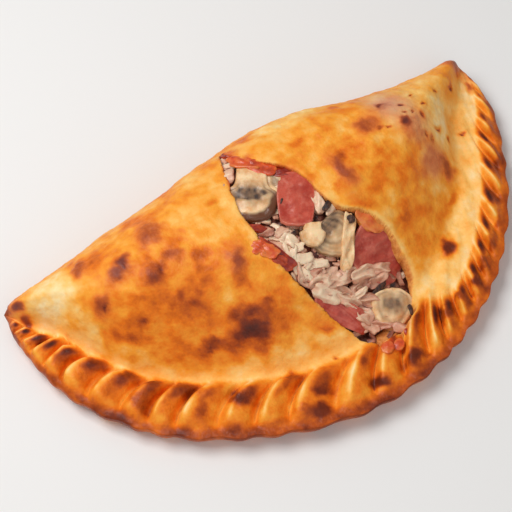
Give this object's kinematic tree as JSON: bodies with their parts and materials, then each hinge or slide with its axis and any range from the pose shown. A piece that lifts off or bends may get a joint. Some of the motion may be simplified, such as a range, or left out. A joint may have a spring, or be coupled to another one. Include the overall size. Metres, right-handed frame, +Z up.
{
  "type": "calzone",
  "caption": "Baked half-moon calzone with a twisted crimped edge, split open along the top to show mushroom and ham filling.",
  "frame": {"origin": "middle of the bounding box at the underside that rests on the table", "axes": "+X along the chord from the left tip to the right tip, -Y to the crimped edge, +Z up"},
  "size_m": [0.2996, 0.171, 0.0519],
  "materials": {
    "crust": "baked golden dough with browned blisters, satin",
    "filling": "moist shredded ham and mushroom",
    "mushroom": "moist sliced mushroom with dark gills",
    "ham": "moist sliced ham",
    "tomato": "wet cooked tomato"
  },
  "bodies": {
    "root": {"crust": "crust", "filling": "filling", "mushroom_1": "mushroom", "mushroom_2": "mushroom", "mushroom_3": "mushroom", "mushroom_4": "mushroom", "mushroom_5": "mushroom", "mushroom_6": "mushroom", "ham_1": "ham", "ham_2": "ham", "ham_3": "ham", "tomato_1": "tomato", "tomato_2": "tomato"}
  },
  "joints": []
}
